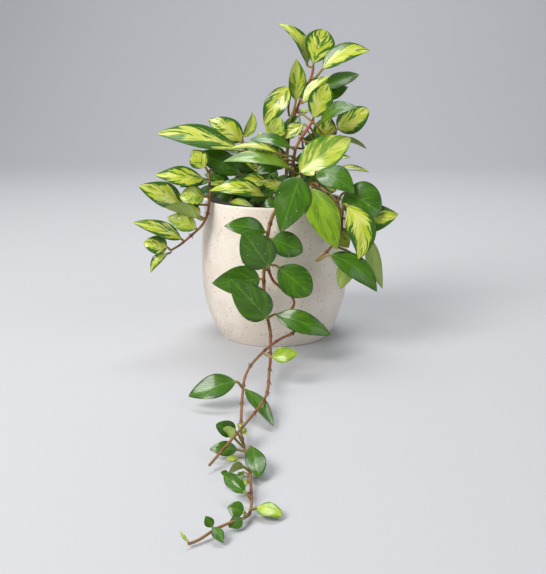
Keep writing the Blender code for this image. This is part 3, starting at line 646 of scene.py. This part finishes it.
def build_mix(material):
    """The mix: a lumpy mounded top on a plain body, with loose crumbs of bark over it.

    The mound falls with the square of the distance from the middle. The lumps are products
    of sines of x and y whose phases shift with the other one. A crumb is a skewed, turned box.
    """
    settings = bpy.context.scene.hoya_pot
    inset = POT_WALL + GAP
    edge = float(pot_radius(MIX_EDGE_HEIGHT)) - inset
    body_z = np.linspace(12, MIX_EDGE_HEIGHT - 1, 12)
    body = np.stack([pot_radius(body_z) - inset - 0.2, body_z], axis=1)
    radius = np.linspace(edge, 0.5, 40)
    top = np.stack([radius, MIX_EDGE_HEIGHT + MIX_MOUND * (1 - (radius / edge) ** 2)], axis=1)
    profile = np.vstack([[[1.0, POT_FLOOR + GAP], [float(pot_radius(10)) - inset - 8,
                                                   POT_FLOOR + GAP]], body, top])
    rings = turned(profile, 120)
    x, y = rings[..., 0], rings[..., 1]
    lumps = (np.sin(x * 0.9 + 1.7 * np.sin(y * 0.5)) * np.sin(y * 0.8 + 1.3 * np.sin(x * 0.6))
             + 0.5 * np.sin(x * 2.1 + y * 1.3) * np.sin(y * 1.9 - x * 0.7))
    upper = (profile[:, 1] >= MIX_EDGE_HEIGHT - 0.5)[:, None]
    rings[..., 2] += np.where(upper, lumps * 0.7 - 0.3, 0)
    places, faces = closed_tube(rings[:, ::-1])

    rng = np.random.default_rng(settings.seed)
    cube = np.array([[i, j, k] for i in (-1, 1) for j in (-1, 1) for k in (-1, 1)], float)
    sides = [[0, 1, 3, 2], [4, 6, 7, 5], [0, 4, 5, 1], [2, 3, 7, 6], [0, 2, 6, 4], [1, 5, 7, 3]]
    all_places, all_faces, count = [places], list(faces), len(places)
    for _ in range(settings.crumbs):
        size = rng.uniform(0.5, 2.0) * np.array([1.0, rng.uniform(0.4, 0.9), rng.uniform(0.3, 0.7)])
        far = edge * math.sqrt(rng.uniform(0, 0.9))
        turn = rng.uniform(0, math.tau)
        shape = (cube + rng.uniform(-0.3, 0.3, cube.shape)) * size
        spin = np.linalg.qr(rng.normal(size=(3, 3)))[0]
        if np.linalg.det(spin) < 0:
            spin[0] *= -1
        rise = MIX_EDGE_HEIGHT + MIX_MOUND * (1 - (far / edge) ** 2) + 0.5
        spot = np.array([far * math.cos(turn), far * math.sin(turn), rise])
        all_places.append(shape @ spin + spot)
        all_faces.extend([[i + count for i in side] for side in sides])
        count += 8
    piece = new_piece("fine_potting_mix", np.vstack(all_places), all_faces, material)
    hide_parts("potting_mix")
    return piece


class Wiring:
    """Adds nodes to a tree and joins them, so that a material reads as a short list."""

    def __init__(self, tree):
        self.tree = tree

    def add(self, kind, inputs=None, **settings):
        node = self.tree.nodes.new(kind)
        for key, value in settings.items():
            setattr(node, key, value)
        for key, value in (inputs or {}).items():
            self.feed(node.inputs[key], value)
        return node

    def feed(self, socket, value):
        if isinstance(value, bpy.types.NodeSocket):
            self.tree.links.new(value, socket)
        else:
            socket.default_value = value

    def math(self, operation, a, b=None, c=None):
        node = self.add("ShaderNodeMath", operation=operation)
        for socket, value in zip(node.inputs, (a, b, c)):
            if value is not None:
                self.feed(socket, value)
        return node.outputs[0]

    def ramp(self, value, low, high, to_low=0.0, to_high=1.0):
        """A smooth step from low to high."""
        node = self.add("ShaderNodeMapRange", interpolation_type="SMOOTHSTEP")
        for key, number in (("Value", value), ("From Min", low), ("From Max", high),
                            ("To Min", to_low), ("To Max", to_high)):
            self.feed(node.inputs[key], number)
        return node.outputs["Result"]

    def mix(self, factor, a, b):
        node = self.add("ShaderNodeMix", data_type="RGBA")
        self.feed(node.inputs[0], factor)
        self.feed(node.inputs[6], a)
        self.feed(node.inputs[7], b)
        return node.outputs[2]

    def noise(self, vector, scale, detail=3.0, roughness=0.55):
        node = self.add("ShaderNodeTexNoise", {"Vector": vector, "Scale": scale,
                                               "Detail": detail, "Roughness": roughness})
        return node.outputs["Fac"]

    def place(self, x, y, z):
        return self.add("ShaderNodeCombineXYZ", {"X": x, "Y": y, "Z": z}).outputs[0]


def new_material(name):
    """A new material with its wiring and its Principled shader."""
    material = bpy.data.materials.new(name)
    material.use_nodes = True
    return material, Wiring(material.node_tree), material.node_tree.nodes["Principled BSDF"]


def finish_surface(w, shader, colour, roughness, height, strength, distance):
    """Feeds the shader its colour and roughness, and its normal from a bump of the height."""
    bump = w.add("ShaderNodeBump", {"Strength": strength, "Distance": distance,
                                    "Height": height})
    w.feed(shader.inputs["Base Color"], colour)
    w.feed(shader.inputs["Roughness"], roughness)
    w.feed(shader.inputs["Normal"], bump.outputs["Normal"])


def new_group(name, inputs, outputs):
    """An empty node group with its named sockets, its wiring and its two end nodes."""
    group = bpy.data.node_groups.new(name, "ShaderNodeTree")
    for label, kind in inputs:
        group.interface.new_socket(label, in_out="INPUT", socket_type="NodeSocket" + kind)
    for label, kind in outputs:
        group.interface.new_socket(label, in_out="OUTPUT", socket_type="NodeSocket" + kind)
    wiring = Wiring(group)
    return group, wiring, wiring.add("NodeGroupInput").outputs, wiring.add("NodeGroupOutput")


def leaf_pattern_group():
    """Streaks that follow the side veins, a ragged green margin, midrib and pale underside."""
    inputs = [("Centre", "Color"), ("Cream", "Color"), ("Streak", "Color"), ("Margin", "Color"),
              ("Underside", "Color"), ("Rib", "Color"), ("Petiole", "Color"),
              ("Margin Width", "Float"), ("Streaks", "Float"), ("Rib Strength", "Float"),
              ("Across", "Float"), ("Along", "Float"), ("Upper", "Float"), ("Seed", "Float"),
              ("Tint", "Float")]
    outputs = [("Color", "Color"), ("Roughness", "Float"), ("Height", "Float")]
    group, w, given, result = new_group("Leaf Pattern", inputs, outputs)
    out = {socket.name: socket for socket in given}
    from_rib = w.math("ABSOLUTE", out["Across"])
    vein_way = w.math("MULTIPLY_ADD", from_rib, -0.50, out["Along"])
    shift = w.math("MULTIPLY", out["Seed"], 37.0)
    fine = w.noise(w.place(w.math("MULTIPLY", vein_way, 14.0),
                           w.math("MULTIPLY", out["Across"], 1.3), shift), 1.0, 4.0, 0.6)
    broad = w.noise(w.place(w.math("MULTIPLY", vein_way, 4.5),
                            w.math("MULTIPLY", out["Across"], 1.9), shift), 1.0, 2.0, 0.5)
    ragged = w.math("MULTIPLY_ADD", w.math("SUBTRACT", fine, 0.5), 0.75, from_rib)
    ragged = w.math("MULTIPLY_ADD", w.math("SUBTRACT", broad, 0.5), 0.9, ragged)
    start = w.math("SUBTRACT", 1.0, out["Margin Width"])
    rim = w.ramp(ragged, start, w.math("ADD", start, 0.10))
    both = w.math("MULTIPLY_ADD", broad, 0.45, w.math("MULTIPLY", fine, 0.55))
    both = w.math("MULTIPLY_ADD", w.math("SUBTRACT", from_rib, 0.35), 0.11, both)
    streak = w.math("MULTIPLY", w.ramp(both, 0.515, 0.55), out["Streaks"])
    paler = w.ramp(w.noise(w.place(w.math("MULTIPLY", vein_way, 7.0), out["Across"],
                                   w.math("ADD", shift, 5.0)), 1.0), 0.4, 0.62)
    colour = w.mix(paler, out["Centre"], out["Cream"])
    colour = w.mix(streak, colour, out["Streak"])
    colour = w.mix(rim, colour, out["Margin"])
    tinted = w.math("MULTIPLY", out["Tint"], w.ramp(broad, 0.62, 0.40, 0.45, 1.0))
    colour = w.mix(tinted, colour, (0.25, 0.40, 0.012, 1.0))
    veins = w.math("SINE", w.math("MULTIPLY", vein_way, 62.0))
    veins = w.ramp(veins, 0.55, 1.0)
    in_blade = w.ramp(out["Along"], -0.01, 0.05)
    rib = w.math("MULTIPLY", w.ramp(from_rib, 0.055, 0.015), out["Rib Strength"])
    colour = w.mix(w.math("MULTIPLY", veins, w.math("MULTIPLY", out["Rib Strength"], 0.07)),
                   colour, out["Rib"])
    colour = w.mix(rib, colour, out["Rib"])
    fleck = w.add("ShaderNodeTexVoronoi", {"Vector": w.place(
        w.math("MULTIPLY", out["Along"], 11.0), w.math("MULTIPLY", out["Across"], 5.0), shift),
        "Scale": 1.0})
    spots = w.math("MULTIPLY", w.ramp(fleck.outputs["Distance"], 0.14, 0.09),
                   w.ramp(broad, 0.52, 0.60))
    colour = w.mix(w.math("MULTIPLY", spots, 0.7), colour, (0.72, 0.8, 0.5, 1.0))
    below = w.math("SUBTRACT", 1.0, out["Upper"])
    colour = w.mix(w.math("MULTIPLY", below, 0.72), colour, out["Underside"])
    colour = w.mix(in_blade, out["Petiole"], colour)
    w.feed(result.inputs["Color"], colour)
    w.feed(result.inputs["Roughness"], w.math("MULTIPLY_ADD", below, 0.22,
                                             w.ramp(broad, 0.3, 0.7, 0.20, 0.33)))
    height = w.math("MULTIPLY_ADD", veins, -0.35, w.math("MULTIPLY", broad, 0.8))
    w.feed(result.inputs["Height"], w.math("MULTIPLY_ADD", fine, 0.3, height))
    return group


def leaf_material(name, group, colours, margin_width, streaks, rib_strength):
    """A glossy leaf whose colours and pattern come from the shared group."""
    material, w, shader = new_material(name)
    pattern = w.add("ShaderNodeGroup")
    pattern.node_tree = group
    for label, colour in colours.items():
        pattern.inputs[label].default_value = (*colour, 1.0)
    pattern.inputs["Margin Width"].default_value = margin_width
    pattern.inputs["Streaks"].default_value = streaks
    pattern.inputs["Rib Strength"].default_value = rib_strength
    for label in ("across", "along", "upper", "seed", "tint"):
        stored = w.add("ShaderNodeAttribute", attribute_name=label)
        w.feed(pattern.inputs[label.title()], stored.outputs["Fac"])
    finish_surface(w, shader, pattern.outputs["Color"], pattern.outputs["Roughness"],
                   pattern.outputs["Height"], 0.35, 0.0006)
    shader.inputs["Coat Weight"].default_value = 0.38
    shader.inputs["Coat Roughness"].default_value = 0.12
    shader.inputs["Specular IOR Level"].default_value = 0.28
    return material


def make_leaf_materials():
    """The three leaf finishes, by name: plain green, variegated and pale."""
    settings = bpy.context.scene.hoya_leaf
    group = leaf_pattern_group()
    shared = {"Underside": (0.25, 0.36, 0.09), "Petiole": (0.25, 0.20, 0.04)}
    green = {"Centre": settings.green, "Cream": (0.062, 0.17, 0.003),
             "Streak": (0.024, 0.085, 0.002), "Margin": (0.020, 0.075, 0.002),
             "Rib": (0.16, 0.36, 0.04)}
    striped = {"Centre": settings.yellow, "Cream": settings.cream,
               "Streak": (0.06, 0.17, 0.005), "Margin": settings.margin,
               "Rib": (0.70, 0.72, 0.28)}
    pale = {"Centre": settings.pale, "Cream": (0.56, 0.62, 0.13),
            "Streak": (0.13, 0.28, 0.015), "Margin": (0.06, 0.20, 0.01),
            "Rib": (0.64, 0.68, 0.26)}
    return {
        "green": leaf_material("Leaf green", group, {**green, **shared}, 0.16, 0.5, 0.4),
        "variegated": leaf_material("Leaf variegated", group, {**striped, **shared},
                                    0.34, 1.0, 0.25),
        "pale": leaf_material("Leaf pale", group, {**pale, **shared}, 0.16, 0.85, 0.3),
    }


def make_stem_material():
    """Reddish brown bark over green, darker at the nodes, redder where it is young."""
    settings = bpy.context.scene.hoya_stem
    material, w, shader = new_material("Stem bark")
    where = w.add("ShaderNodeTexCoord").outputs["Object"]
    run = w.add("ShaderNodeAttribute", attribute_name="run").outputs["Fac"]
    node = w.add("ShaderNodeAttribute", attribute_name="node").outputs["Fac"]
    patches = w.noise(w.place(w.math("MULTIPLY", run, 0.022), 0.0, 0.0), 1.0, 2.0)
    grain = w.noise(where, 900.0, 4.0)
    colour = w.mix(w.ramp(patches, 0.42, 0.6), (*settings.bark, 1),
                   (*settings.green_bark, 1))
    colour = w.mix(w.ramp(grain, 0.45, 0.65), colour, (0.31, 0.12, 0.055, 1))
    height = w.add("ShaderNodeSeparateXYZ", {"Vector": where}).outputs["Z"]
    colour = w.mix(w.ramp(height, 0.15, 0.22, 0.0, 0.6), colour, (0.46, 0.10, 0.03, 1))
    colour = w.mix(w.math("MULTIPLY", node, 0.7), colour, (0.09, 0.028, 0.014, 1))
    finish_surface(w, shader, colour, w.ramp(grain, 0.3, 0.7, 0.42, 0.62), grain, 0.5, 0.0004)
    return material


def make_stoneware():
    """Warm off-white clay with mottling, three sizes of brown specks and a painted highlight along
    the top of the lip.
    """
    settings = bpy.context.scene.hoya_pot
    material, w, shader = new_material("Speckled stoneware")
    where = w.add("ShaderNodeTexCoord").outputs["Object"]
    height = w.add("ShaderNodeSeparateXYZ", {"Vector": where}).outputs["Z"]
    mottle = w.noise(where, 55.0, 4.0)
    fine = w.noise(where, 700.0, 3.0)
    colour = w.mix(w.ramp(mottle, 0.35, 0.65), (*settings.clay, 1), (*settings.pale_clay, 1))
    colour = w.mix(w.ramp(fine, 0.5, 0.75, 0.0, 0.35), colour, (0.62, 0.52, 0.42, 1))
    for scale, size, limit, tone in ((260.0, 0.19, 0.52, 0.9), (480.0, 0.22, 0.5, 0.55),
                                     (850.0, 0.25, 0.45, 0.4)):
        cells = w.add("ShaderNodeTexVoronoi", {"Vector": where, "Scale": scale,
                                               "Randomness": 1.0})
        chosen = w.add("ShaderNodeSeparateColor", {"Color": cells.outputs["Color"]})
        dot = w.ramp(cells.outputs["Distance"], size, size * 0.55)
        kept = w.ramp(chosen.outputs[0], limit, limit + 0.05)
        colour = w.mix(w.math("MULTIPLY", w.math("MULTIPLY", dot, kept), tone), colour,
                       (*settings.speck, 1))
    # Painted highlight: the top of the rounded lip fades in from 138.5 mm and is half pale cream
    # above 140.2 mm.
    colour = w.mix(w.ramp(height, 0.1385, 0.1402, 0.0, 0.5), colour, (0.86, 0.81, 0.74, 1))
    uneven = w.math("ADD", w.math("MULTIPLY", mottle, 0.6), w.math("MULTIPLY", fine, 0.3))
    finish_surface(w, shader, colour, w.ramp(mottle, 0.3, 0.7, 0.5, 0.62), uneven, 0.25, 0.0005)
    return material


def make_mix_material():
    """Near-black mix with brown bark and a little pale grit."""
    material, w, shader = new_material("Potting mix")
    where = w.add("ShaderNodeTexCoord").outputs["Object"]
    lumps = w.noise(where, 260.0, 5.0, 0.65)
    colour = w.mix(w.ramp(lumps, 0.4, 0.65), (0.008, 0.006, 0.005, 1), (0.045, 0.028, 0.018, 1))
    grit = w.noise(where, 420.0, 1.0)
    colour = w.mix(w.ramp(grit, 0.72, 0.76), colour, (0.22, 0.19, 0.14, 1))
    finish_surface(w, shader, colour, 0.92, lumps, 0.9, 0.002)
    return material


def make_stage_material():
    """Pale matte seamless paper with a very slight unevenness."""
    material, w, shader = new_material("Studio paper")
    where = w.add("ShaderNodeTexCoord").outputs["Object"]
    soft = w.noise(where, 1.2, 2.0)
    paper = bpy.context.scene.hoya_stage.paper
    colour = w.mix(soft, (*paper, 1), (0.50, 0.505, 0.525, 1))
    w.feed(shader.inputs["Base Color"], colour)
    shader.inputs["Roughness"].default_value = 0.8
    return material


def area_light(name, place, target, size, power, colour):
    """A soft round light that faces its target."""
    light = bpy.data.lights.new(name, "AREA")
    light.shape = "DISK"
    light.size = size
    light.energy = power
    light.color = colour
    lamp = bpy.data.objects.new(name, light)
    lamp.location = place
    lamp.rotation_euler = (Vector(target) - Vector(place)).to_track_quat("-Z", "Y").to_euler()
    bpy.context.scene.collection.objects.link(lamp)


class HOYA_OT_pot(bpy.types.Operator):
    """Builds the speckled stoneware pot"""
    bl_idname = "hoya.pot"
    bl_label = "Pot"

    def execute(self, context):
        build_pot(make_stoneware())
        return {"FINISHED"}


class HOYA_OT_mix(bpy.types.Operator):
    """Builds the potting mix and its crumbs"""
    bl_idname = "hoya.mix"
    bl_label = "Potting mix"

    def execute(self, context):
        build_mix(make_mix_material())
        return {"FINISHED"}


class HOYA_OT_stems(bpy.types.Operator):
    """Builds every stem with its nodes and root nubs"""
    bl_idname = "hoya.stems"
    bl_label = "Stems"

    def execute(self, context):
        bark = make_stem_material()
        for name in STEMS:
            stem_piece(name, bark)
        return {"FINISHED"}


class HOYA_OT_leaves(bpy.types.Operator):
    """Builds every leaf, in place of its solid where it has one"""
    bl_idname = "hoya.leaves"
    bl_label = "Leaves"

    def execute(self, context):
        finishes = make_leaf_materials()
        number = 0
        for stem_name in STEMS:
            prefix = stem_name.rsplit("_", 1)[0]
            for place, leaf in enumerate(LEAVES[stem_name], 1):
                number += 1
                node = f"{prefix}_leaf_{place}"
                piece = leaf_piece("fine_" + node, leaf, stem_name, number, finishes[leaf.finish])
                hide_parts(node)
            for place, leaf in enumerate(SMALL_LEAVES.get(stem_name, []), 1):
                number += 1
                leaf_piece(f"small_{prefix}_leaf_{place}", leaf, stem_name, number,
                           finishes[leaf.finish])
        return {"FINISHED"}


class HOYA_OT_stage(bpy.types.Operator):
    """Sets the floor, the soft lights and the camera"""
    bl_idname = "hoya.stage"
    bl_label = "Stage"

    def execute(self, context):
        settings = context.scene.hoya_stage
        bend = arc(1.6, 1.2, 1.2, -90, 0, 16)
        rows = np.vstack([[[-3.0, 0.0], [-1.0, 0.0]], bend, [[2.8, 3.5]]])
        places = np.array([[x, y, z] for y, z in rows for x in (-4.0, 4.0)])
        faces = [[2 * i, 2 * i + 1, 2 * i + 3, 2 * i + 2] for i in range(len(rows) - 1)]
        mesh = bpy.data.meshes.new("studio_paper")
        mesh.from_pydata(places.tolist(), [], faces)
        mesh.shade_smooth()
        mesh.materials.append(make_stage_material())
        paper = bpy.data.objects.new("studio_paper", mesh)
        context.scene.collection.objects.link(paper)

        world = bpy.data.worlds.new("Studio air")
        world.use_nodes = True
        world.node_tree.nodes["Background"].inputs["Color"].default_value = (0.86, 0.89, 0.95, 1)
        world.node_tree.nodes["Background"].inputs["Strength"].default_value = 0.26
        context.scene.world = world
        area_light("key", (-1.0, -1.05, 1.3), (0, 0, 0.12), 1.0, settings.light_power * 1.15,
                   (1.0, 0.98, 0.95))
        area_light("fill", (1.4, -1.0, 0.9), (0, 0, 0.12), 1.4, settings.light_power * 0.25,
                   (0.92, 0.96, 1.0))
        area_light("top", (-0.2, 0.5, 1.7), (0, 0, 0.15), 1.2, settings.light_power * 0.45,
                   (1.0, 1.0, 1.0))
        area_light("backdrop", (0.3, 0.9, 2.2), (0.1, 2.6, 0.5), 1.2, settings.light_power * 0.95,
                   (0.97, 0.98, 1.0))
        camera = bpy.data.cameras.new("Camera")
        camera.sensor_fit = "AUTO"
        camera.sensor_width = 36.0
        camera.lens = settings.lens
        camera.clip_start = 0.01
        view = bpy.data.objects.new("Camera", camera)
        view.location = (-0.0016, -settings.camera_distance, settings.camera_height)
        view.rotation_euler = (math.pi / 2 - settings.camera_pitch, 0.0, 0.0)
        context.scene.collection.objects.link(view)
        context.scene.camera = view
        context.scene.view_settings.view_transform = "Standard"
        return {"FINISHED"}


class HOYA_PT_panel(bpy.types.Panel):
    """The plant's settings and one button for each group of pieces"""
    bl_label = "Potted hoya"
    bl_idname = "HOYA_PT_panel"
    bl_space_type = "VIEW_3D"
    bl_region_type = "UI"
    bl_category = "Hoya"

    def draw(self, context):
        scene = context.scene
        for holder, settings in SETTINGS.items():
            box = self.layout.box()
            for name in settings.__annotations__:
                box.prop(getattr(scene, holder), name)
        for operator in OPERATORS:
            self.layout.operator(operator.bl_idname)


OPERATORS = (HOYA_OT_pot, HOYA_OT_mix, HOYA_OT_stems, HOYA_OT_leaves, HOYA_OT_stage)
SETTINGS = {"hoya_pot": HoyaPotSettings, "hoya_stem": HoyaStemSettings,
            "hoya_leaf": HoyaLeafSettings, "hoya_stage": HoyaStageSettings}


def register():
    for name, settings in SETTINGS.items():
        bpy.utils.register_class(settings)
        setattr(bpy.types.Scene, name, bpy.props.PointerProperty(type=settings))
    for operator in OPERATORS:
        bpy.utils.register_class(operator)
    bpy.utils.register_class(HOYA_PT_panel)


def unregister():
    bpy.utils.unregister_class(HOYA_PT_panel)
    for operator in reversed(OPERATORS):
        bpy.utils.unregister_class(operator)
    for name, settings in SETTINGS.items():
        delattr(bpy.types.Scene, name)
        bpy.utils.unregister_class(settings)


def main():
    register()
    for step in (bpy.ops.hoya.pot, bpy.ops.hoya.mix, bpy.ops.hoya.stems, bpy.ops.hoya.leaves,
                 bpy.ops.hoya.stage):
        step()


if __name__ == "__main__":
    main()
